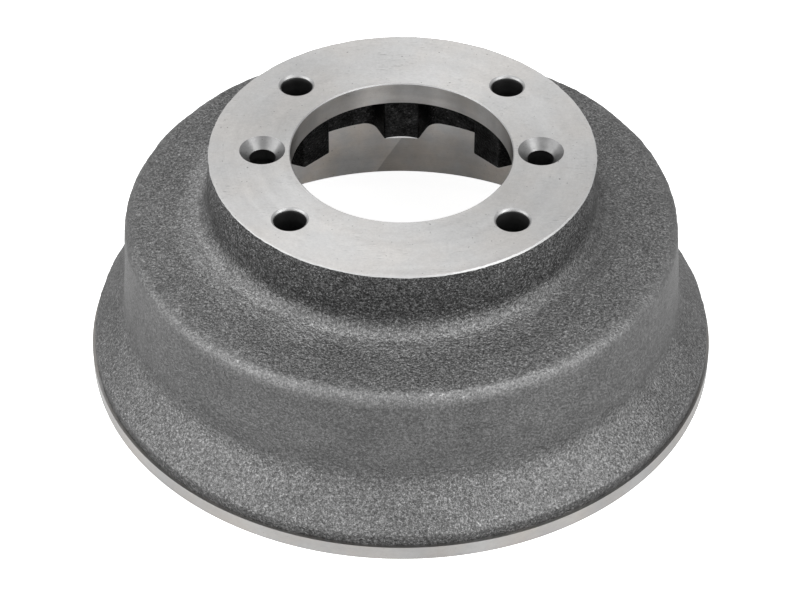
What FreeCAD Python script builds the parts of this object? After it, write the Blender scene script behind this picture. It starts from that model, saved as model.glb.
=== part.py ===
import FreeCAD, Part
import math
import os
import Sketcher

# Brake drum: one iron casting, turned and drilled. Sizes in millimetres, angles in degrees.
# The Z axis is the wheel axis. z = 0 is the open rim, the wheel seats on the top face.

SIZES = {
    # whole part
    "overall_height": 114.4,
    # wheel face and hub neck
    "bore_diameter": 102.0,
    "face_diameter": 177.6,
    "face_chamfer": 0.8,
    "bore_chamfer": 0.5,
    "plate_thickness": 11.2,
    "neck_foot_diameter": 180.8,
    "neck_foot_depth": 30.1,
    "neck_fillet": 8.5,
    # shoulder and barrel
    "shoulder_diameter": 249.2,
    "shoulder_depth": 34.8,
    "shoulder_edge_diameter": 255.0,
    "shoulder_edge_depth": 36.1,
    "barrel_top_diameter": 257.4,
    "barrel_top_depth": 39.1,
    "barrel_foot_diameter": 262.3,
    "barrel_foot_depth": 80.5,
    "flare_top_diameter": 266.1,
    "flare_top_depth": 85.3,
    # open rim
    "rim_cast_diameter": 293.0,
    "rim_cast_height": 13.0,
    "rim_band_height": 7.1,
    "rim_diameter": 295.8,
    "mouth_step_diameter": 258.0,
    "mouth_step_depth": 6.2,
    "mouth_chamfer": 1.0,
    # braking cylinder and the inside of the web
    "braking_diameter": 240.0,
    "web_edge_depth": 43.5,
    "web_corner": 8.0,
    "hub_seat_diameter": 188.0,
    "hub_depth": 37.3,
    # lobes in the hub cavity
    "pocket_diameter": 142.2,
    "lobe_face_distance": 56.8,
    "lobe_width": 16.2,
    "lobe_flare_angle": 25.0,
    "lobe_root_fillet": 6.0,
    "lead_in_diameter": 114.4,
    "lead_in_depth": 2.1,
    # stud holes and countersunk retaining screw holes
    "stud_circle_diameter": 140.0,
    "stud_hole_diameter": 14.4,
    "stud_edge_diameter": 17.0,
    "stud_edge_angle": 120.0,
    "screw_spacing": 127.4,
    "screw_hole_diameter": 12.2,
    "screw_head_diameter": 21.0,
    "screw_head_angle": 90.0,
}
PILOT_LOBE_COUNT = 4
STUD_LOBE_COUNT = 4
STUD_COUNT = 4
SCREW_COUNT = 2
STUD_START_ANGLE = 45.0

doc = FreeCAD.newDocument("brake_drum")

sheet = doc.addObject("Spreadsheet::Sheet", "dims")
for row, (name, value) in enumerate(SIZES.items(), start=1):
    sheet.set("A%d" % row, name)
    sheet.set("B%d" % row, str(value))
    sheet.setAlias("B%d" % row, name)
doc.recompute()

body = doc.addObject("PartDesign::Body", "brake_drum")
body.Label = "brake_drum"


def origin_plane(role):
    for feature in body.Origin.OriginFeatures:
        if feature.Role == role:
            return feature
    raise RuntimeError("no origin plane " + role)


def mm(expression):
    return "(" + expression + ") * 1 mm"


def new_sketch(name, plane_role, height=None, turn=0.0):
    """Sketch on an origin plane, turned on it, and lifted along its normal by an expression."""
    sketch = body.newObject("Sketcher::SketchObject", name)
    sketch.AttachmentSupport = (origin_plane(plane_role), "")
    sketch.MapMode = "FlatFace"
    sketch.AttachmentOffset = FreeCAD.Placement(
        FreeCAD.Vector(0, 0, 0), FreeCAD.Rotation(FreeCAD.Vector(0, 0, 1), turn))
    if height is not None:
        sketch.setExpression("AttachmentOffset.Base.z", mm(height))
    return sketch


def bind(sketch, index, name, expression):
    sketch.renameConstraint(index, name)
    sketch.setExpression("Constraints." + name, expression)


def value_of(expression):
    """Present value of an expression over the size names, for placing geometry roughly."""
    probe = sheet.evalExpression(expression.replace("dims.", ""))
    return float(getattr(probe, "Value", probe))


def polygon(sketch, corners):
    """Closed outline. Each corner is (label, x, y, round), with x and y as size expressions.

    A side whose ends share an expression is held vertical or horizontal. Every other
    coordinate is a named dimension from the sketch origin. A corner with a round keeps
    its dimensions on the sharp corner and is rounded by an arc of that size.
    """
    count = len(corners)
    points = [
        FreeCAD.Vector(value_of(x), value_of(y), 0) for _, x, y, _ in corners
    ]
    bound = {}
    for i in range(count):
        sketch.addGeometry(Part.LineSegment(points[i], points[(i + 1) % count]), False)
    for i in range(count):
        sketch.addConstraint(Sketcher.Constraint("Coincident", i, 2, (i + 1) % count, 1))
    for i, (label, x, y, _) in enumerate(corners):
        same_x = i > 0 and corners[i - 1][1] == x
        same_y = i > 0 and corners[i - 1][2] == y
        if same_x:
            sketch.addConstraint(Sketcher.Constraint("Vertical", i - 1))
        else:
            index = sketch.addConstraint(
                Sketcher.Constraint("DistanceX", -1, 1, i, 1, points[i].x))
            sketch.renameConstraint(index, label + "_x")
            bound[label + "_x"] = mm(x)
        if same_y:
            sketch.addConstraint(Sketcher.Constraint("Horizontal", i - 1))
        elif abs(points[i].y) < 1e-9:
            sketch.addConstraint(Sketcher.Constraint("PointOnObject", i, 1, -1))
        else:
            index = sketch.addConstraint(
                Sketcher.Constraint("DistanceY", -1, 1, i, 1, points[i].y))
            sketch.renameConstraint(index, label + "_y")
            bound[label + "_y"] = mm(y)
    for i, (label, _, _, round_name) in enumerate(corners):
        if round_name is None:
            continue
        sketch.fillet(i, 1, SIZES[round_name], True, True)
        arc = max(n for n, g in enumerate(sketch.Geometry) if isinstance(g, Part.ArcOfCircle))
        index = sketch.addConstraint(Sketcher.Constraint("Radius", arc, SIZES[round_name]))
        sketch.renameConstraint(index, label + "_round")
        bound[label + "_round"] = mm("dims." + round_name)
    for name, expression in bound.items():
        sketch.setExpression("Constraints." + name, expression)


def ring_edges(shape, radius, height):
    """Names of the full circles about the axis at this radius and height."""
    found = []
    for number, edge in enumerate(shape.Edges, start=1):
        curve = edge.Curve
        if not isinstance(curve, Part.Circle):
            continue
        centre = curve.Center
        if math.hypot(centre.x, centre.y) > 0.001 or abs(centre.z - height) > 0.01:
            continue
        if abs(curve.Radius - radius) < 0.01:
            found.append("Edge%d" % number)
    return found


def dress(kind, name, edges, size_name):
    """Fillet or chamfer on named edges of the body's last feature."""
    if not edges:
        raise RuntimeError("no edges for " + name)
    feature = body.newObject("PartDesign::" + kind, name)
    feature.Base = (base_feature[0], edges)
    size = "Radius" if kind == "Fillet" else "Size"
    setattr(feature, size, SIZES[size_name])
    feature.setExpression(size, mm("dims." + size_name))
    doc.recompute()
    base_feature[0] = feature
    return feature


def checked(feature):
    """Make a feature the tip of the body and check that it has built."""
    body.Tip = feature
    doc.recompute()
    base_feature[0] = feature
    if feature.Shape.isNull() or not feature.Shape.isValid():
        raise RuntimeError("no valid shape in " + feature.Name)
    return feature


def check_cut(feature, volume_before):
    if feature.Shape.Volume > volume_before - 1.0:
        raise RuntimeError(feature.Name + " cuts nothing")


base_feature = [None]

# Section of the drum, outside then inside, turned about the wheel axis.
top = "dims.overall_height"
corners = [
    ("face_inner", "dims.bore_diameter / 2", top, None),
    ("face_outer", "dims.face_diameter / 2", top, None),
    ("neck_foot", "dims.neck_foot_diameter / 2", top + " - dims.neck_foot_depth", "neck_fillet"),
    ("shoulder", "dims.shoulder_diameter / 2", top + " - dims.shoulder_depth", None),
    ("shoulder_edge", "dims.shoulder_edge_diameter / 2",
     top + " - dims.shoulder_edge_depth", None),
    ("barrel_top", "dims.barrel_top_diameter / 2", top + " - dims.barrel_top_depth", None),
    ("barrel_foot", "dims.barrel_foot_diameter / 2", top + " - dims.barrel_foot_depth", None),
    ("flare_top", "dims.flare_top_diameter / 2", top + " - dims.flare_top_depth", None),
    ("rim_cast_top", "dims.rim_cast_diameter / 2", "dims.rim_cast_height", None),
    ("rim_cast_foot", "dims.rim_cast_diameter / 2", "dims.rim_band_height", None),
    ("rim_band_top", "dims.rim_diameter / 2", "dims.rim_band_height", None),
    ("rim_foot", "dims.rim_diameter / 2", "0", None),
    ("mouth", "dims.mouth_step_diameter / 2", "0", None),
    ("mouth_step", "dims.mouth_step_diameter / 2", "dims.mouth_step_depth", None),
    ("braking_foot", "dims.braking_diameter / 2", "dims.mouth_step_depth", None),
    ("braking_end", "dims.braking_diameter / 2",
     top + " - dims.web_edge_depth - dims.web_corner", None),
    ("web_edge", "dims.braking_diameter / 2 - dims.web_corner",
     top + " - dims.web_edge_depth", None),
    ("hub_seat", "dims.hub_seat_diameter / 2", top + " - dims.hub_depth", None),
    ("pocket_foot", "dims.pocket_diameter / 2", top + " - dims.hub_depth", None),
    ("pocket_roof", "dims.pocket_diameter / 2", top + " - dims.plate_thickness", None),
    ("lip", "dims.bore_diameter / 2", top + " - dims.plate_thickness", None),
]
section = new_sketch("Section", "XZ_Plane")
polygon(section, corners)
doc.recompute()

casting = body.newObject("PartDesign::Revolution", "Casting")
casting.Profile = section
casting.ReferenceAxis = (section, ["V_Axis"])
casting.Angle = 360.0
checked(casting)


def corner_edges(label):
    for name, x, y, _ in corners:
        if name == label:
            return ring_edges(base_feature[0].Shape, value_of(x), value_of(y))
    return []


def lobes(name, turn, count):
    """Lobes that stand in from the neck wall, from the hub seat up into the plate."""
    sketch = new_sketch(name + "Outline", "XY_Plane", top + " - dims.hub_depth", turn)
    face_x = value_of("dims.lobe_face_distance")
    half_width = value_of("dims.lobe_width / 2")
    reach = "(dims.pocket_diameter + dims.face_diameter) / 4"
    reach_x = value_of(reach)
    flare = math.radians(SIZES["lobe_flare_angle"])
    reach_y = half_width + (reach_x - face_x) * math.tan(flare)
    points = [
        FreeCAD.Vector(face_x, -half_width, 0),
        FreeCAD.Vector(reach_x, -reach_y, 0),
        FreeCAD.Vector(reach_x, reach_y, 0),
        FreeCAD.Vector(face_x, half_width, 0),
    ]
    for i in range(4):
        sketch.addGeometry(Part.LineSegment(points[i], points[(i + 1) % 4]), False)
    for i in range(4):
        sketch.addConstraint(Sketcher.Constraint("Coincident", i, 2, (i + 1) % 4, 1))
    sketch.addConstraint(Sketcher.Constraint("Symmetric", 0, 1, 3, 1, -1))
    sketch.addConstraint(Sketcher.Constraint("Symmetric", 1, 1, 2, 1, -1))
    bind(sketch, sketch.addConstraint(
        Sketcher.Constraint("DistanceX", -1, 1, 3, 1, face_x)),
        "face_distance", mm("dims.lobe_face_distance"))
    bind(sketch, sketch.addConstraint(
        Sketcher.Constraint("DistanceY", 3, 2, 3, 1, -2 * half_width)),
        "face_width", mm("-dims.lobe_width"))
    bind(sketch, sketch.addConstraint(
        Sketcher.Constraint("DistanceX", -1, 1, 1, 1, reach_x)),
        "reach", mm(reach))
    bind(sketch, sketch.addConstraint(
        Sketcher.Constraint("Angle", -1, 1, 2, 2, -flare)),
        "flare", "-dims.lobe_flare_angle * 1 deg")
    doc.recompute()
    pad = body.newObject("PartDesign::Pad", name)
    pad.Profile = sketch
    pad.setExpression("Length", mm("dims.hub_depth - dims.plate_thickness / 2"))
    checked(pad)
    pattern = body.newObject("PartDesign::PolarPattern", name + "s")
    pattern.Originals = [pad]
    pattern.Axis = (sketch, ["N_Axis"])
    pattern.Angle = 360.0
    pattern.Occurrences = count
    return checked(pattern)


lobes("PilotLobe", 0.0, PILOT_LOBE_COUNT)

# Turned lead-in that breaks the lower inner edge of the pilot lobes.
lead_in_sketch = new_sketch("LeadInSection", "XZ_Plane")
seat_level = top + " - dims.hub_depth"
polygon(lead_in_sketch, [
    ("lead_in_inner", "dims.bore_diameter / 2", seat_level, None),
    ("lead_in_outer", "dims.lead_in_diameter / 2", seat_level, None),
    ("lead_in_end", "dims.lobe_face_distance", seat_level + " + dims.lead_in_depth", None),
    ("lead_in_end_inner", "dims.bore_diameter / 2", seat_level + " + dims.lead_in_depth", None),
])
doc.recompute()
volume = base_feature[0].Shape.Volume
lead_in = body.newObject("PartDesign::Groove", "LeadIn")
lead_in.Profile = lead_in_sketch
lead_in.ReferenceAxis = (lead_in_sketch, ["V_Axis"])
lead_in.Angle = 360.0
checked(lead_in)
check_cut(lead_in, volume)

# The lobes that carry the stud holes stay as cast.
lobes("StudLobe", STUD_START_ANGLE, STUD_LOBE_COUNT)

# The upright corners between each lobe and the pocket wall.
pocket_radius = SIZES["pocket_diameter"] / 2
root_edges = []
for number, edge in enumerate(base_feature[0].Shape.Edges, start=1):
    if not isinstance(edge.Curve, Part.Line):
        continue
    start, end = edge.Vertexes[0].Point, edge.Vertexes[-1].Point
    if math.hypot(start.x - end.x, start.y - end.y) > 0.01:
        continue
    if abs(math.hypot(start.x, start.y) - pocket_radius) < 0.01:
        root_edges.append("Edge%d" % number)
if len(root_edges) != 2 * (PILOT_LOBE_COUNT + STUD_LOBE_COUNT):
    raise RuntimeError("lobe corners found: %d" % len(root_edges))
dress("Fillet", "LobeRoots", root_edges, "lobe_root_fillet")


def drilled(name, pitch_radius, angle, diameter_name, cut_name, cut_angle_name, count):
    """Countersunk through holes on a circle, drilled down from the wheel face."""
    sketch = new_sketch(name + "Centre", "XY_Plane", top)
    radius = value_of(pitch_radius)
    centre = FreeCAD.Vector(
        radius * math.cos(math.radians(angle)), radius * math.sin(math.radians(angle)), 0)
    sketch.addGeometry(Part.LineSegment(FreeCAD.Vector(0, 0, 0), centre), True)
    sketch.addGeometry(
        Part.Circle(centre, FreeCAD.Vector(0, 0, 1), SIZES[diameter_name] / 2), False)
    sketch.addConstraint(Sketcher.Constraint("Coincident", 0, 1, -1, 1))
    sketch.addConstraint(Sketcher.Constraint("Coincident", 0, 2, 1, 3))
    bind(sketch, sketch.addConstraint(Sketcher.Constraint("Distance", 0, radius)),
         "pitch_radius", mm(pitch_radius))
    if angle == 0:
        sketch.addConstraint(Sketcher.Constraint("Horizontal", 0))
    else:
        sketch.addConstraint(Sketcher.Constraint("Angle", 0, math.radians(angle)))
    bind(sketch, sketch.addConstraint(
        Sketcher.Constraint("Diameter", 1, SIZES[diameter_name])),
        "diameter", mm("dims." + diameter_name))
    doc.recompute()
    volume_before = base_feature[0].Shape.Volume
    hole = body.newObject("PartDesign::Hole", name)
    hole.Profile = sketch
    hole.ThreadType = "None"
    hole.DepthType = "ThroughAll"
    hole.HoleCutType = "Countersink"
    hole.HoleCutCustomValues = True
    hole.setExpression("Diameter", mm("dims." + diameter_name))
    hole.setExpression("HoleCutDiameter", mm("dims." + cut_name))
    hole.setExpression("HoleCutCountersinkAngle", "dims." + cut_angle_name + " * 1 deg")
    checked(hole)
    check_cut(hole, volume_before)
    volume_one = hole.Shape.Volume
    pattern = body.newObject("PartDesign::PolarPattern", name + "s")
    pattern.Originals = [hole]
    pattern.Axis = (sketch, ["N_Axis"])
    pattern.Angle = 360.0
    pattern.Occurrences = count
    checked(pattern)
    check_cut(pattern, volume_one)


drilled("StudHole", "dims.stud_circle_diameter / 2", STUD_START_ANGLE,
        "stud_hole_diameter", "stud_edge_diameter", "stud_edge_angle", STUD_COUNT)
drilled("ScrewHole", "dims.screw_spacing / 2", 0.0,
        "screw_hole_diameter", "screw_head_diameter", "screw_head_angle", SCREW_COUNT)

# Turned edge breaks.
dress("Chamfer", "FaceEdge", corner_edges("face_outer"), "face_chamfer")
dress("Chamfer", "BoreEdge", corner_edges("face_inner"), "bore_chamfer")
dress("Chamfer", "MouthEdge", corner_edges("mouth") + corner_edges("braking_foot"), "mouth_chamfer")
checked(base_feature[0])

for item in doc.Objects:
    if "Invalid" in item.State or "Error" in item.State:
        raise RuntimeError("not built: " + item.Name)
if len(body.Shape.Solids) != 1:
    raise RuntimeError("the drum is not one solid")

os.makedirs("parts", exist_ok=True)
body.Shape.exportStep("parts/" + body.Label + ".step")
print("brake_drum volume cm3", round(body.Shape.Volume / 1000, 1))
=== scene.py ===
import math

import bmesh
import bpy
from mathutils import Matrix, Vector, noise


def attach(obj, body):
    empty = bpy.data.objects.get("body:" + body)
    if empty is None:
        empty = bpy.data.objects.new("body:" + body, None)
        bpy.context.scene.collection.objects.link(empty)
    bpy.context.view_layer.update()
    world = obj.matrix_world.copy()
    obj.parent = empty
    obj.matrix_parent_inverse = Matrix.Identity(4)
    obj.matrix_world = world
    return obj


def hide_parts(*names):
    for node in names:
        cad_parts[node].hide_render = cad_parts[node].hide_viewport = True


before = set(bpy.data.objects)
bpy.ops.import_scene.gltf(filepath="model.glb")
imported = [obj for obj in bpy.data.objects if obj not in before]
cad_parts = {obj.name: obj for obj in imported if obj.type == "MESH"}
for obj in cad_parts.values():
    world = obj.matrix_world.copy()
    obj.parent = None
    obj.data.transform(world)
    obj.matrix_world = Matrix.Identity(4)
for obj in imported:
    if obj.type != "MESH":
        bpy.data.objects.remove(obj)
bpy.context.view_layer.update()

# A cast iron brake drum that stands on its open rim, with its axis along Z.
# Lengths are metres unless a name ends in _MM.
MM = 0.001

SEGMENTS = 600
ANGLES = [2 * math.pi * k / SEGMENTS for k in range(SEGMENTS)]

# Material numbers on the drum.
SKIN, FACE, EDGE, BORE, DRILLED, SINK, CAVITY, BRAKING, BAND, BREAK, LEAD = range(11)

# The section, as radius and height above the open rim.
TOP_MM = 114.4
BORE_MM = 51.0
BORE_CHAMFER_MM = 0.5
FACE_MM = 88.8
SEAT_Z_MM = 77.1
ROOF_Z_MM = 103.2
BRAKING_MM = 120.0
STRIP_MM = 146.5
BAND_MM = 147.9
BAND_Z_MM = 7.1

# Corners of the cast outside, from the face to the rim band, with the radius of each round.
SKIN_CORNERS = [
    (88.85, 113.4, 0.0),
    (90.4, 84.3, 8.5),
    (128.4, 79.1, 5.5),
    (131.3, 31.2, 16.0),
    (STRIP_MM, 13.0, 1.2),
    (STRIP_MM, BAND_Z_MM, 0.0),
]

# Distance between the rows of the skin, on straight runs and on rounds.
SKIN_STEP_MM = 1.55
SKIN_ARC_STEP_MM = 0.95

# A rough outside between the face and the band, which closes the solid while it is cut.
ROUGH_OUTSIDE = [(92.4, 86.3), (126.4, 77.1), (131.3, 31.2)]

# Corners of the inside, from the rim up to the bore, with the material of the run that follows.
INSIDE = [
    (BAND_MM, 0.0, BAND),
    (130.0, 0.0, BAND),
    (129.0, 1.0, BAND),
    (129.0, 6.2, BAND),
    (121.0, 6.2, BAND),
    (BRAKING_MM, 7.2, BRAKING),
    (BRAKING_MM, 62.9, CAVITY),
    (112.0, 70.9, CAVITY),
    (94.0, SEAT_Z_MM, CAVITY),
    (BORE_MM, SEAT_Z_MM, BORE),
]

# Hub cavity: a round pocket with eight lobes that stand in from its wall.
POCKET_MM = 71.1
LOBE_COUNT = 8
LOBE_FACE_MM = 56.8
LOBE_HALF_WIDTH_MM = 8.1
LOBE_FLARE = math.radians(25.0)
LOBE_ROOT_MM = 6.0
LOBE_CORNER_MM = 1.2
ARC_STEPS = 8
CORNER_STEPS = 4
CAVITY_OVERRUN_MM = 6.0

# Section of the turned lead-in on the four pilot lobes, and how far it goes to each side.
LEAD_IN = [(50.0, 73.1), (59.3, 73.1), (LOBE_FACE_MM, 78.5), (50.0, 78.5)]
LEAD_IN_REACH_DEG = 15.0
LEAD_IN_STEPS = 24

# Holes as radius, height and the material of the wall that follows.
STUD_CIRCLE_MM = 70.0
STUD_HOLE = [
    (7.2, 60.0, DRILLED),
    (7.2, 112.2, DRILLED),
    (7.45, 113.2, EDGE),
    (7.75, 113.75, EDGE),
    (8.1, 114.1, EDGE),
    (8.5, TOP_MM, EDGE),
    (8.7, TOP_MM + 0.1, EDGE),
]
SCREW_X_MM = 63.7
SCREW_HOLE = [(6.1, 60.0, DRILLED), (6.1, 110.0, SINK), (11.5, 115.4, SINK)]
HOLE_SIDES = 72

# The casting's outside sits a little off the turned face.
SKIN_SHIFT_MM = 0.45
SKIN_SHIFT_ANGLE = math.radians(-20.0)

# The edge break of the face is widest at one side.
BREAK_WIDTH_MM = 0.42
BREAK_SWING_MM = 0.28
BREAK_ANGLE = math.radians(-35.0)

# Unevenness, as layers of size and depth in mm and a seed.
SKIN_WAVES = [(34.0, 0.45, 1.0), (12.0, 0.26, 2.0), (4.6, 0.20, 5.0), (2.4, 0.16, 6.0)]
BREAK_WAVES = [(9.0, 0.20, 3.0), (2.2, 0.16, 8.0)]
BREAK_WIDTH_WAVES = [(5.0, 0.14, 6.0)]
LEDGE_WAVES = [(11.0, 0.25, 4.0), (2.4, 0.22, 9.0)]

# Numbers of rows: where the unevenness fades in at the top and out at the foot, and where the
# skin draws in to meet the edge break.
TOP_FADE_ROWS = 5.0
FOOT_FADE_ROWS = 3.0
JOIN_ROWS = 6

# Corners closer together than this become one, and edges that bend more than this stay sharp.
WELD_MM = 0.002
SHARP_ANGLE = math.radians(30.0)

# The cast skin from the strip over the rim band to the neck: height, tone, contrast of the
# grain, how much paler it is towards both sides, and how much it dims towards +X. The tone is
# painted light and shade: painted highlights on the shoulder round and the neck fillet, painted
# shade on the neck and on the strip above the band, and a lighter flare than barrel. Paler
# towards both sides, and darker where it is below zero, is painted light and shade, and dimming
# towards +X is painted shade over the fillet band.
SKIN_PAINTED_LIGHT = [
    (11.6, 0.60, 1.1, 0.0, 0.0),
    (13.0, 0.81, 0.9, -0.1, 0.0),
    (31.0, 0.81, 0.9, -0.1, 0.0),
    (40.0, 0.71, 0.6, 0.25, 0.0),
    (72.5, 0.69, 0.6, 0.25, 0.0),
    (76.3, 1.0, 0.5, -0.25, 0.0),
    (79.2, 1.18, 0.55, -0.25, 0.0),
    (80.1, 0.82, 0.95, 0.1, 0.0),
    (82.2, 0.84, 0.95, 0.1, 0.2),
    (83.0, 1.38, 0.8, 0.0, 1.0),
    (83.7, 1.46, 0.75, 0.0, 1.0),
    (84.7, 1.10, 0.75, 0.0, 1.0),
    (85.8, 0.84, 0.8, 0.0, 0.6),
    (88.4, 0.66, 0.9, 0.3, 0.0),
    (91.6, 0.60, 1.1, 0.35, 0.0),
    (94.6, 0.42, 1.35, 0.35, 0.0),
]
TONES_REACH_MM = 100.0

# A leaning tone step on the braking surface, darker on one side and fading away: angle and
# height of one point, radius, lean, where it starts and ends across itself, and its tone from
# the one to the other.
SLANT_STEP_TURN = math.radians(90.4)
SLANT_STEP_Z = 27.1 * MM
SLANT_STEP_RADIUS = BRAKING_MM * MM
SLANT_STEP_LEAN = 0.60
SLANT_STEP_START = -22.0 * MM
SLANT_STEP_END = 8.0 * MM
SLANT_STEP_TONES = [(0.0, 1.0), (0.45, 0.86), (0.72, 0.74), (0.745, 1.08), (1.0, 1.0)]

# Fine scratches: the angle of each set and its place in the noise.
SCRATCHES = ((-35.0, 0.0), (18.0, 0.3), (74.0, 0.6), (124.0, 0.9))


def feed(links, socket, value):
    """Links the socket to another one, or sets it to a plain value."""
    if isinstance(value, bpy.types.NodeSocket):
        links.new(value, socket)
    else:
        socket.default_value = value


def grey(value, warm=0.0):
    return (value * (1.0 + warm), value, value * (1.0 - warm))


class Tree:
    """Node tree of one material, on the object's own coordinates."""

    def __init__(self, name):
        self.material = bpy.data.materials.new(name)
        self.material.use_nodes = True
        self.nodes = self.material.node_tree.nodes
        self.links = self.material.node_tree.links
        self.shader = self.nodes["Principled BSDF"]
        self.place = self.add("ShaderNodeTexCoord").outputs["Object"]

    def add(self, kind, inputs=None, **settings):
        node = self.nodes.new(kind)
        for key, value in settings.items():
            setattr(node, key, value)
        for key, value in (inputs or {}).items():
            feed(self.links, node.inputs[key], value)
        return node

    def noise(self, size_mm, detail=2.0, roughness=0.5, place=None):
        node = self.add("ShaderNodeTexNoise", {
            "Vector": place or self.place, "Scale": 1.0 / (size_mm * MM), "Detail": detail,
            "Roughness": roughness})
        return node.outputs["Fac"]

    def math(self, operation, a, b=0.0, clamp=False):
        node = self.add("ShaderNodeMath", {0: a, 1: b}, operation=operation, use_clamp=clamp)
        return node.outputs[0]

    def product(self, value, *factors):
        for factor in factors:
            value = self.math("MULTIPLY", value, factor)
        return value

    def span(self, value, low, high, to_low=0.0, to_high=1.0):
        """Maps low to to_low and high to to_high, and holds both ends."""
        node = self.add("ShaderNodeMapRange", {
            "Value": value, "From Min": low, "From Max": high,
            "To Min": to_low, "To Max": to_high})
        return node.outputs["Result"]

    def ramp(self, value, stops):
        """Colour ramp node. The colour of a stop has three parts, or four with its alpha."""
        node = self.add("ShaderNodeValToRGB", {"Fac": value})
        elements = node.color_ramp.elements
        while len(elements) < len(stops):
            elements.new(0.5)
        for element, (position, color) in zip(elements, stops):
            element.position = position
            element.color = (*color, 1.0)[:4]
        return node

    def vector(self, x, y, z):
        return self.add("ShaderNodeCombineXYZ", {"X": x, "Y": y, "Z": z}).outputs["Vector"]

    def shaded(self, color, shade):
        """The colour times a grey shade."""
        node = self.add("ShaderNodeMix", data_type="RGBA", blend_type="MULTIPLY")
        for key, value in ((0, 1.0), (6, color), (7, self.vector(shade, shade, shade))):
            feed(self.links, node.inputs[key], value)
        return node.outputs[2]

    def around_axis(self):
        """The place as x, y and z, and its distance from the drum's axis."""
        split = self.add("ShaderNodeSeparateXYZ", {"Vector": self.place})
        x, y, z = (split.outputs[k] for k in "XYZ")
        squares = self.math("ADD", self.product(x, x), self.product(y, y))
        return x, y, z, self.math("SQRT", squares)

    def wander(self, size_mm, reach_mm):
        """Noise that makes an edge ragged."""
        return self.product(
            self.math("SUBTRACT", self.noise(size_mm, 2.0, 0.6), 0.5), reach_mm * MM)

    def skin_painted_light(self):
        """Painted light and shade of the blasted skin by height and side, its grain contrast, and
        how rubbed it is.
        """
        x, _, z, radius = self.around_axis()
        side = self.math("DIVIDE", x, radius)
        height = self.span(self.math("ADD", z, self.wander(2.2, 2.2)), 0.0, TONES_REACH_MM * MM)
        # The tone by height is painted light and shade: highlights on the shoulder round and neck
        # fillet, shade on the neck and foot strip.
        ramp = self.ramp(height, [
            (height_mm / TONES_REACH_MM, (tone / 2, contrast / 2, 0.5 + side_light, right_dimming))
            for height_mm, tone, contrast, side_light, right_dimming in SKIN_PAINTED_LIGHT])
        parts = self.add("ShaderNodeSeparateColor", {"Color": ramp.outputs["Color"]})
        tone, contrast = (self.product(parts.outputs[k], 2.0) for k in ("Red", "Green"))
        side_light = self.math("SUBTRACT", parts.outputs["Blue"], 0.5)
        # Painted light and shade towards both sides.
        sides = self.product(side_light, self.product(side, side))
        # Painted shade: the fillet band dims towards +X.
        painted_dimming = self.product(ramp.outputs["Alpha"], self.span(side, 0.3, 0.9, 0.0, 0.45))
        lit = self.math("SUBTRACT", self.math("ADD", sides, 1.0), painted_dimming)
        rubbed = self.math("MULTIPLY", side_light, -4.0, clamp=True)
        return self.product(tone, lit), contrast, rubbed

    def slant_step_tone(self, turn, z):
        """Tone of the one leaning step across the braking surface, darker on one side and fading
        away.
        """
        along = self.product(self.math("SUBTRACT", turn, SLANT_STEP_TURN), SLANT_STEP_RADIUS)
        lean = self.product(self.math("SUBTRACT", SLANT_STEP_Z, z), SLANT_STEP_LEAN)
        past = self.math("ADD", self.math("SUBTRACT", along, lean), self.wander(5.0, 1.0))
        ramp = self.ramp(self.span(past, SLANT_STEP_START, SLANT_STEP_END), [
            (position, grey(tone)) for position, tone in SLANT_STEP_TONES])
        return ramp.outputs["Color"]

    def scratched(self, depth):
        """Tone of fine scratches in patches, in several directions."""
        patches = self.span(self.noise(19.0, 2.0, 0.6), 0.47, 0.6)
        tone = 1.0
        for angle, offset in SCRATCHES:
            grid = self.add("ShaderNodeMapping", {
                "Vector": self.place, "Location": (offset, offset, 0.0),
                "Rotation": (0.0, 0.0, math.radians(angle)), "Scale": (0.13, 1.0, 1.0)})
            lines = self.span(self.noise(0.6, 2.0, 0.5, grid.outputs["Vector"]), 0.65, 0.78)
            lines = self.product(lines, patches)
            tone = self.product(tone, self.span(lines, 0.0, 1.0, 1.0, 1.0 - depth))
        return tone

    def finish(self, color, roughness, marks, depth_mm, metallic):
        normal = self.add("ShaderNodeBump", {
            "Height": marks, "Distance": depth_mm * MM, "Strength": 1.0}).outputs["Normal"]
        for key, value in (("Base Color", color), ("Roughness", roughness), ("Normal", normal)):
            self.links.new(value, self.shader.inputs[key])
        self.shader.inputs["Metallic"].default_value = metallic
        return self.material


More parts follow.
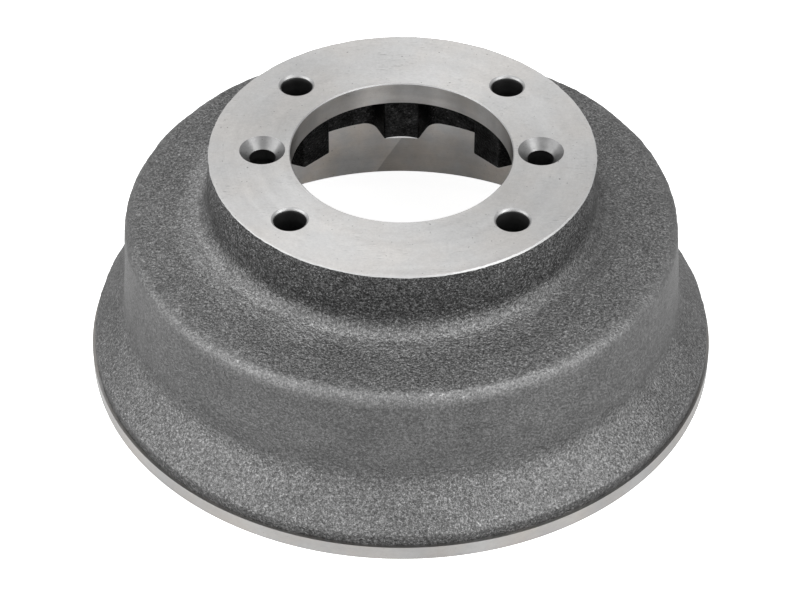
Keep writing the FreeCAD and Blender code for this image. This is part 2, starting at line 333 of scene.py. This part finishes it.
def cast_iron(name, dark, light, depth_mm, outside, metallic):
    """Sand-cast skin: crisp grains under a millimetre across, with softer blotches under them."""
    t = Tree(name)
    coarse = t.noise(1.2, 1.0, 0.5)
    fine = t.noise(0.56, 1.0, 0.5)
    grains = t.add("ShaderNodeTexVoronoi", {
        "Vector": t.place, "Scale": 1.0 / (0.9 * MM), "Randomness": 1.0}).outputs["Distance"]
    speck = t.math("ADD", t.product(coarse, 0.45), t.product(fine, 0.55))
    speck = t.span(speck, 0.32, 0.68, -0.5, 0.5)
    shade = t.span(t.noise(17.0, 3.0, 0.6), 0.3, 0.7, 0.88, 1.07)
    if outside:
        # Outside, the shade carries the skin's painted light and shade, and rubbed nicks.
        tone, contrast, rubbed = t.skin_painted_light()
        nicks = t.span(t.noise(2.6, 2.0, 0.6), 0.64, 0.74, 0.0, 0.9)
        shade = t.product(shade, tone, t.math("ADD", t.product(nicks, rubbed), 1.0))
        speck = t.product(speck, contrast)
    else:
        mottles = t.span(t.noise(6.5, 3.0, 0.65), 0.34, 0.66, 0.5, 1.7)
        flecks = t.span(t.noise(1.0, 2.0, 0.7), 0.62, 0.72, 1.0, 4.5)
        shade = t.product(shade, mottles, flecks)
    color = t.ramp(t.math("ADD", speck, 0.5), [
        (0.0, grey(dark)), (0.45, grey(0.62 * dark + 0.38 * light)),
        (0.8, grey(light)), (1.0, grey(1.7 * light))]).outputs["Color"]
    height = t.math("ADD", t.product(coarse, 0.6), t.product(fine, 0.4))
    height = t.math("SUBTRACT", height, t.product(grains, 0.3))
    roughness = t.span(fine, 0.3, 0.7, 0.34, 0.55)
    t.shader.inputs["Specular Tint"].default_value = (0.55, 0.55, 0.55, 1.0)
    return t.finish(t.shaded(color, shade), roughness, height, depth_mm, metallic)


def machined(name, value, rough, warm=0.0, lay="rings", worn=0.0, bands=0.0, painted_dimming=None,
             cloud=0.035, slant_step=False):
    """Cut metal, with tool marks as rings on a face or as rows round a bore or a band.

    Worn is how strongly handling has marked it with specks and scratches. Bands is how much
    the tone changes round the axis. Painted dimming is painted sheen and shade round the axis:
    the angle from X at which two opposite sectors are darkest, by how much, and the power of
    the cosine that they follow. Cloud is how much the tone drifts over some centimetres.
    """
    t = Tree(name)
    x, y, z, radius = t.around_axis()
    turn = t.math("ARCTAN2", y, x)
    along_cut = t.vector(radius if lay == "rings" else z, t.product(turn, 0.006), 0.0)
    marks = t.noise(0.5, 2.0, 0.6, along_cut)
    shade = t.product(
        t.span(t.noise(30.0, 3.0, 0.5), 0.35, 0.65, 0.985 - cloud, 0.985 + cloud),
        t.span(t.noise(6.0, 2.0, 0.5, along_cut), 0.35, 0.65, 0.96, 1.02),
        t.span(t.noise(3.2, 4.0, 0.65), 0.3, 0.7, 0.955, 1.035),
        t.span(marks, 0.3, 0.7, 0.975, 1.02))
    if bands > 0.0:
        round_axis = t.vector(
            t.math("DIVIDE", x, radius), t.math("DIVIDE", y, radius), t.product(z, 3.0))
        wide = t.noise(380.0, 2.0, 0.45, round_axis)
        shade = t.product(shade, t.span(wide, 0.36, 0.64, 1.0 - bands, 1.0 + bands))
    # Painted sheen and shade: two opposite sectors round the axis are darker.
    if painted_dimming:
        angle, amount, power = painted_dimming
        facing = t.math("COSINE", t.math("SUBTRACT", turn, math.radians(angle)))
        sector = t.math("POWER", t.math("ABSOLUTE", facing), power)
        shade = t.product(shade, t.span(sector, 0.0, 1.0, 1.0, 1.0 - amount))
    # A leaning tone step on the braking surface, with a darker side that fades away.
    if slant_step:
        shade = t.product(shade, t.slant_step_tone(turn, z))
    if worn > 0.0:
        pits = t.span(t.noise(1.5, 1.0, 0.5), 0.735, 0.79, 1.0, 1.0 - 0.55 * worn)
        specks = t.span(t.noise(1.3, 3.0, 0.75), 0.3, 0.7, 1.0 - 0.07 * worn, 1.0 + 0.05 * worn)
        shade = t.product(shade, pits, specks, t.scratched(0.36 * worn))
    tint = t.ramp(t.noise(24.0, 3.0, 0.6), [
        (0.38, grey(value, warm * 0.3)), (0.62, grey(value, warm * 1.7))]).outputs["Color"]
    roughness = t.span(t.noise(3.0, 3.0, 0.6, along_cut), 0.3, 0.7, rough * 0.85, rough * 1.2)
    return t.finish(t.shaded(tint, shade), roughness, marks, 0.012, 1.0)


# In the order of the material numbers.
MATERIALS = [
    cast_iron("cast_skin", 0.05, 0.27, 0.62, outside=True, metallic=0.85),
    # The turned face has a painted sheen: darker in two opposite sectors, lighter across them.
    machined("turned_face", 0.62, 0.36, 0.014, worn=1.0, painted_dimming=(-22.0, 0.24, 2.0)),
    machined("turned_edge", 0.34, 0.45),
    # The bored wall has a painted dark reflection in narrow sectors towards +X and -X.
    machined("bored_wall", 0.76, 0.32, 0.022, "rows", worn=0.4, bands=0.20,
             painted_dimming=(0.0, 0.86, 14.0)),
    machined("drilled_wall", 0.10, 0.41, lay="rows"),
    machined("countersink", 0.20, 0.33, lay="rows", worn=1.3),
    # The cast iron inside the drum is a far darker copy of the skin: painted shade of the hollow.
    cast_iron("cast_cavity_painted_shade", 0.005, 0.029, 0.5, outside=False, metallic=1.0),
    machined("braking_surface", 0.70, 0.36, 0.045, "rows", worn=0.5, bands=0.16, cloud=0.10,
             slant_step=True),
    # The rim band has painted shade in narrow sectors near +X and -X.
    machined("rim_band", 0.33, 0.34, 0.028, "rows", worn=0.5, bands=0.06,
             painted_dimming=(-8.0, 0.38, 8.0)),
    machined("face_break", 0.42, 0.52),
    machined("lead_in", 0.55, 0.25),
]


def rounded(corners, step, arc_step):
    """Polyline through the corners, with each round as an arc and runs no longer than step."""
    points = []
    for i, (r, z, radius) in enumerate(corners):
        here = Vector((r, z))
        if radius == 0.0:
            points.append((here, step))
            continue
        before = (Vector(corners[i - 1][:2]) - here).normalized()
        after = (Vector(corners[i + 1][:2]) - here).normalized()
        half = before.angle(after) / 2
        reach = radius / math.tan(half)
        centre = here + (before + after).normalized() * radius / math.sin(half)
        start = here + before * reach - centre
        turn = math.pi - 2 * half
        side = 1.0 if start.cross(here + after * reach - centre) > 0 else -1.0
        count = max(2, math.ceil(radius * turn / arc_step))
        for k in range(count + 1):
            angle = side * turn * k / count
            swung = Matrix.Rotation(angle, 2) @ start
            points.append((centre + swung, arc_step if k < count else step))
    line = []
    for (a, run), (b, _) in zip(points, points[1:]):
        parts = max(1, round((b - a).length / run))
        line += [a.lerp(b, k / parts) for k in range(parts)]
    return line + [points[-1][0]]


def on_circle(angle, radius=1.0):
    return Vector((math.cos(angle), math.sin(angle))) * radius


def ring(mesh, radius_mm, z_mm):
    """Circle of vertices. Radius and height may be functions of the angle."""
    verts = []
    for angle in ANGLES:
        r = radius_mm(angle) if callable(radius_mm) else radius_mm
        z = z_mm(angle) if callable(z_mm) else z_mm
        verts.append(mesh.verts.new((r * MM * math.cos(angle), r * MM * math.sin(angle), z * MM)))
    return verts


def span(mesh, upper, lower, material):
    """Quads between two rings. The upper ring comes first when the outside is on the right."""
    for k in range(len(upper)):
        n = (k + 1) % len(upper)
        quad = mesh.faces.new((upper[k], lower[k], lower[n], upper[n]))
        quad.material_index = material


def cap(mesh, verts, material):
    mesh.faces.new(verts).material_index = material


def as_object(mesh, name, materials=MATERIALS):
    data = bpy.data.meshes.new(name)
    mesh.to_mesh(data)
    mesh.free()
    for material in materials:
        data.materials.append(material)
    made = bpy.data.objects.new(name, data)
    bpy.context.scene.collection.objects.link(made)
    return made


def turned(profile, name):
    """Closed solid turned from (radius, z, material of the run that follows)."""
    mesh = bmesh.new()
    rings = [ring(mesh, r, z) for r, z, _ in profile]
    for i, (_, _, material) in enumerate(profile):
        span(mesh, rings[i], rings[(i + 1) % len(rings)], material)
    bmesh.ops.recalc_face_normals(mesh, faces=mesh.faces)
    return as_object(mesh, name)


def plug(mesh, profile, centre):
    """Solid of revolution about an upright line, capped at both ends."""
    rings = []
    for r, z, _ in profile:
        spots = [centre + on_circle(2 * math.pi * k / HOLE_SIDES, r) for k in range(HOLE_SIDES)]
        rings.append([mesh.verts.new((p.x * MM, p.y * MM, z * MM)) for p in spots])
    for i in range(len(rings) - 1):
        span(mesh, rings[i + 1], rings[i], profile[i][2])
    cap(mesh, rings[0][::-1], profile[0][2])
    cap(mesh, rings[-1], profile[-1][2])


def cavity_outline():
    """Hub cavity seen from below, a point list round all its lobes."""
    along = on_circle(LOBE_FLARE)
    away = Vector((-along.y, along.x))
    base = Vector((LOBE_FACE_MM, LOBE_HALF_WIDTH_MM)) + away * LOBE_ROOT_MM
    drop = base.dot(along)
    on_arc = (POCKET_MM - LOBE_ROOT_MM) ** 2
    centre = base + along * (math.sqrt(drop * drop - base.dot(base) + on_arc) - drop)
    on_flank = math.atan2(-away.y, -away.x)
    on_wall = math.atan2(centre.y, centre.x)
    sweep = (on_wall - on_flank) % (2 * math.pi)
    corner_turn = math.pi / 2 - LOBE_FLARE
    reach = LOBE_CORNER_MM * math.tan(corner_turn / 2)
    quarter = []
    for k in range(CORNER_STEPS + 1):
        angle = corner_turn * k / CORNER_STEPS
        quarter.append(Vector((
            LOBE_FACE_MM + LOBE_CORNER_MM - LOBE_CORNER_MM * math.cos(angle),
            LOBE_HALF_WIDTH_MM - reach + LOBE_CORNER_MM * math.sin(angle))))
    for k in range(ARC_STEPS + 1):
        quarter.append(centre + on_circle(on_flank + sweep * k / ARC_STEPS, LOBE_ROOT_MM))
    last = math.atan2(quarter[-1].y, quarter[-1].x)
    halfway = math.pi / LOBE_COUNT
    for k in range(1, ARC_STEPS):
        quarter.append(on_circle(last + (halfway - last) * k / ARC_STEPS, POCKET_MM))
    half = [Vector((p.x, -p.y)) for p in reversed(quarter)] + quarter
    half.append(on_circle(halfway, POCKET_MM))
    outline = []
    for lobe in range(LOBE_COUNT):
        turn_by = Matrix.Rotation(2 * halfway * lobe, 2)
        outline += [turn_by @ p for p in half]
    return outline


def cavity_cutter():
    mesh = bmesh.new()
    foot, roof = (
        [mesh.verts.new((p.x * MM, p.y * MM, z * MM)) for p in cavity_outline()]
        for z in (SEAT_Z_MM - CAVITY_OVERRUN_MM, ROOF_Z_MM))
    span(mesh, roof, foot, CAVITY)
    cap(mesh, foot[::-1], CAVITY)
    cap(mesh, roof, CAVITY)
    return as_object(mesh, "cavity_cutter")


def lead_in_cutter():
    """Four ring sectors, one at each pilot lobe."""
    mesh = bmesh.new()
    for lobe in range(4):
        rows = []
        for k in range(LEAD_IN_STEPS + 1):
            angle = math.radians(
                90.0 * lobe - LEAD_IN_REACH_DEG + 2 * LEAD_IN_REACH_DEG * k / LEAD_IN_STEPS)
            rows.append([
                mesh.verts.new((r * math.cos(angle) * MM, r * math.sin(angle) * MM, z * MM))
                for r, z in LEAD_IN])
        for here, there in zip(rows, rows[1:]):
            span(mesh, here, there, LEAD)
        cap(mesh, rows[0][::-1], LEAD)
        cap(mesh, rows[-1], LEAD)
    bmesh.ops.recalc_face_normals(mesh, faces=mesh.faces)
    return as_object(mesh, "lead_in_cutter")


def hole_cutter():
    mesh = bmesh.new()
    for k in range(4):
        plug(mesh, STUD_HOLE, on_circle(math.radians(45.0 + 90.0 * k), STUD_CIRCLE_MM))
    for side in (-1.0, 1.0):
        plug(mesh, SCREW_HOLE, Vector((side * SCREW_X_MM, 0.0)))
    return as_object(mesh, "hole_cutter")


def cut(target, cutter):
    """Takes the cutter out of the target for good."""
    step = target.modifiers.new("cut", "BOOLEAN")
    step.operation = "DIFFERENCE"
    step.solver = "EXACT"
    step.object = cutter
    bpy.context.view_layer.update()
    shape = bpy.data.meshes.new_from_object(
        target.evaluated_get(bpy.context.evaluated_depsgraph_get()))
    target.modifiers.remove(step)
    target.data = shape
    bpy.data.objects.remove(cutter)


def uneven(place, waves):
    """Sum of smooth noise in layers, in mm, at a place in mm."""
    return sum(depth * noise.noise(place * (1.0 / size) + Vector((seed, 2.3 * seed, 5.1)))
               for size, depth, seed in waves)


def spoke(angle, radius=1.0):
    return Vector((math.cos(angle), math.sin(angle), 0.0)) * radius


def skin_shift(angle):
    return SKIN_SHIFT_MM * math.cos(angle - SKIN_SHIFT_ANGLE)


def edge_break(angle):
    """How far out the turned edge break meets the skin, over the face's radius."""
    return skin_shift(angle) + uneven(spoke(angle, FACE_MM), BREAK_WAVES)


def break_width(angle):
    swing = BREAK_SWING_MM * math.cos(angle - BREAK_ANGLE)
    return BREAK_WIDTH_MM + swing + uneven(spoke(angle, FACE_MM), BREAK_WIDTH_WAVES)


def break_foot(angle):
    return FACE_MM + edge_break(angle)


def break_foot_z(angle):
    return TOP_MM - break_width(angle)


def face_end(angle):
    return break_foot(angle) - break_width(angle)


def ledge(angle):
    """Where the skin ends on top of the rim band."""
    return STRIP_MM + uneven(spoke(angle, STRIP_MM), LEDGE_WAVES)


def lay_skin(drum):
    """Puts fine rows in place of the rough outside, pushed in and out as by a sand mould."""
    mesh = bmesh.new()
    mesh.from_mesh(drum.data)
    rough = [face for face in mesh.faces if face.material_index == SKIN]
    bmesh.ops.delete(mesh, geom=rough, context="FACES")
    line = rounded(SKIN_CORNERS, SKIN_STEP_MM, SKIN_ARC_STEP_MM)
    end = len(line) - 1
    rows = [ring(mesh, face_end, TOP_MM), ring(mesh, break_foot, break_foot_z)]
    for i, here in enumerate(line[1:-1], start=1):
        tangent = (line[i + 1] - line[i - 1]).normalized()
        out = Vector((-tangent.y, tangent.x))
        if out.x < 0 and out.y < 0:
            out = -out
        fade = min(1.0, i / TOP_FADE_ROWS, (end - i) / FOOT_FADE_ROWS)
        row = []
        for angle in ANGLES:
            arm = spoke(angle)
            push = uneven(arm * here.x + Vector((0.0, 0.0, here.y)), SKIN_WAVES) * fade
            shift = skin_shift(angle) * (1.0 - i / len(line))
            if i < JOIN_ROWS:
                shift += (edge_break(angle) - shift) * (1.0 - i / JOIN_ROWS)
            r = here.x + out.x * push + shift
            z = here.y + out.y * push
            row.append(mesh.verts.new((arm.x * r * MM, arm.y * r * MM, z * MM)))
        rows.append(row)
    rows += [ring(mesh, ledge, BAND_Z_MM), ring(mesh, BAND_MM, BAND_Z_MM)]
    materials = [BREAK] + [SKIN] * (len(rows) - 3) + [BAND]
    for upper, lower, material in zip(rows, rows[1:], materials):
        span(mesh, upper, lower, material)
    bmesh.ops.remove_doubles(mesh, verts=mesh.verts, dist=WELD_MM * MM)
    bmesh.ops.recalc_face_normals(mesh, faces=mesh.faces)
    for face in mesh.faces:
        face.smooth = True
    mesh.to_mesh(drum.data)
    mesh.free()
    drum.data.set_sharp_from_angle(angle=SHARP_ANGLE)


# The drum.
drum = turned([
    (BORE_MM, TOP_MM - BORE_CHAMFER_MM, EDGE),
    (BORE_MM + BORE_CHAMFER_MM, TOP_MM, FACE),
    (face_end, TOP_MM, SKIN),
    *[(r, z, SKIN) for r, z in ROUGH_OUTSIDE],
    (BAND_MM, BAND_Z_MM, BAND),
    *INSIDE,
], "drum_casting")
for cutter in (cavity_cutter, lead_in_cutter, hole_cutter):
    cut(drum, cutter())
lay_skin(drum)

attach(drum, "root")
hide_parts("brake_drum")


def view_level(nodes, links, seen, mirrored):
    """Strength for rays from the camera, and for mirror-like rays and rays through glass."""
    path = nodes.new("ShaderNodeLightPath")
    total = 0.0
    for ray, strength in (("Is Camera Ray", seen), ("Is Glossy Ray", mirrored),
                          ("Is Transmission Ray", mirrored)):
        part = nodes.new("ShaderNodeMath")
        part.operation = "MULTIPLY_ADD"
        for slot, value in enumerate((path.outputs[ray], strength, total)):
            feed(links, part.inputs[slot], value)
        total = part.outputs[0]
    return total


# The floor lies just under the rim. What is mirrored of it carries painted light: a painted pool
# of light under the bore, a painted shadow under the drum, and dimmer round it: distance from
# the axis, and strength there.
FLOOR_HALF_SIZE = 4.0
FLOOR_GAP = 0.1 * MM
FLOOR_GREY = 0.9
FLOOR_SEEN = 0.93
FLOOR_MIRRORED_PAINTED_LIGHT = [
    (0.0, 0.9), (0.050, 0.9), (0.060, 0.12), (0.138, 0.12), (0.150, 0.5), (1.0, 0.5)]

mesh = bmesh.new()
bmesh.ops.create_grid(mesh, x_segments=1, y_segments=1, size=FLOOR_HALF_SIZE)
floor = as_object(mesh, "floor", [])
floor.location.z = -FLOOR_GAP
paint = Tree("floor_white")
paint.shader.inputs["Base Color"].default_value = (*grey(FLOOR_GREY), 1.0)
paint.shader.inputs["Roughness"].default_value = 0.9
paint.shader.inputs["Specular IOR Level"].default_value = 0.0
paint.shader.inputs["Emission Color"].default_value = (1.0, 1.0, 1.0, 1.0)
from_axis = paint.add("ShaderNodeVectorMath", {0: paint.place}, operation="LENGTH")
# Painted light in what the floor mirrors: bright under the bore, painted shadow under the drum.
mirrored = paint.ramp(from_axis.outputs["Value"], [
    (distance, grey(strength)) for distance, strength in FLOOR_MIRRORED_PAINTED_LIGHT])
glow = view_level(paint.nodes, paint.links, FLOOR_SEEN, mirrored.outputs["Color"])
paint.links.new(glow, paint.shader.inputs["Emission Strength"])
floor.data.materials.append(paint.material)

# The world is white where it is seen or mirrored, and dimmer as a light.
WORLD_LIGHT = 0.45

world = bpy.data.worlds.new("studio")
bpy.context.scene.world = world
world.use_nodes = True
nodes, links = world.node_tree.nodes, world.node_tree.links
sky = nodes["Background"]
sky.inputs["Color"].default_value = (1.0, 1.0, 1.0, 1.0)
level = nodes.new("ShaderNodeMath")
level.operation = "MAXIMUM"
level.inputs[1].default_value = WORLD_LIGHT
links.new(view_level(nodes, links, 1.0, 1.0), level.inputs[0])
links.new(level.outputs[0], sky.inputs["Strength"])

# Square lamps that face the drum: azimuth, elevation and power. Azimuth 0 is the camera's
# side, and to the right is positive.
LAMP_SIZE = 0.9
LAMP_DISTANCE = 1.5
LAMP_AIM = Vector((0.0, 0.0, 0.06))
LAMPS = {
    "lamp_over": (0.0, 78.0, 2.5),
    "lamp_front_left": (-50.0, 30.0, 5.6),
    "lamp_front_right": (50.0, 30.0, 8.6),
    "lamp_right": (65.0, 14.0, 4.6),
    "lamp_high_right": (50.0, 55.0, 2.8),
    "lamp_left": (-80.0, 20.0, 8.6),
    "lamp_back_left": (-135.0, 45.0, 2.0),
}
for name, (azimuth, elevation, power) in LAMPS.items():
    data = bpy.data.lights.new(name, "AREA")
    data.shape = "SQUARE"
    data.size = LAMP_SIZE
    data.energy = power
    lamp = bpy.data.objects.new(name, data)
    a, e = math.radians(azimuth), math.radians(elevation)
    away = Vector((math.sin(a) * math.cos(e), -math.cos(a) * math.cos(e), math.sin(e)))
    lamp.location = away * LAMP_DISTANCE + LAMP_AIM
    lamp.rotation_euler = away.to_track_quat("Z", "Y").to_euler()
    bpy.context.scene.collection.objects.link(lamp)

# Camera, where the photograph was taken from.
LENS_MM = 129.48
SENSOR_MM = 36.0
CAMERA_RIGHT = Vector((0.999993, 0.002408, 0.002762))
CAMERA_UP = Vector((-0.003664, 0.657181, 0.753724))
CAMERA_BACK = Vector((0.0, -0.753729, 0.657185))
CAMERA_PLACE = Vector((-0.000476, -1.035907, 0.927011))

camera_data = bpy.data.cameras.new("camera")
camera_data.lens = LENS_MM
camera_data.sensor_width = SENSOR_MM
camera = bpy.data.objects.new("camera", camera_data)
pose = Matrix((CAMERA_RIGHT, CAMERA_UP, CAMERA_BACK)).transposed().to_4x4()
pose.translation = CAMERA_PLACE
camera.matrix_world = pose
bpy.context.scene.collection.objects.link(camera)
bpy.context.scene.camera = camera

bpy.context.scene.view_settings.view_transform = "Standard"
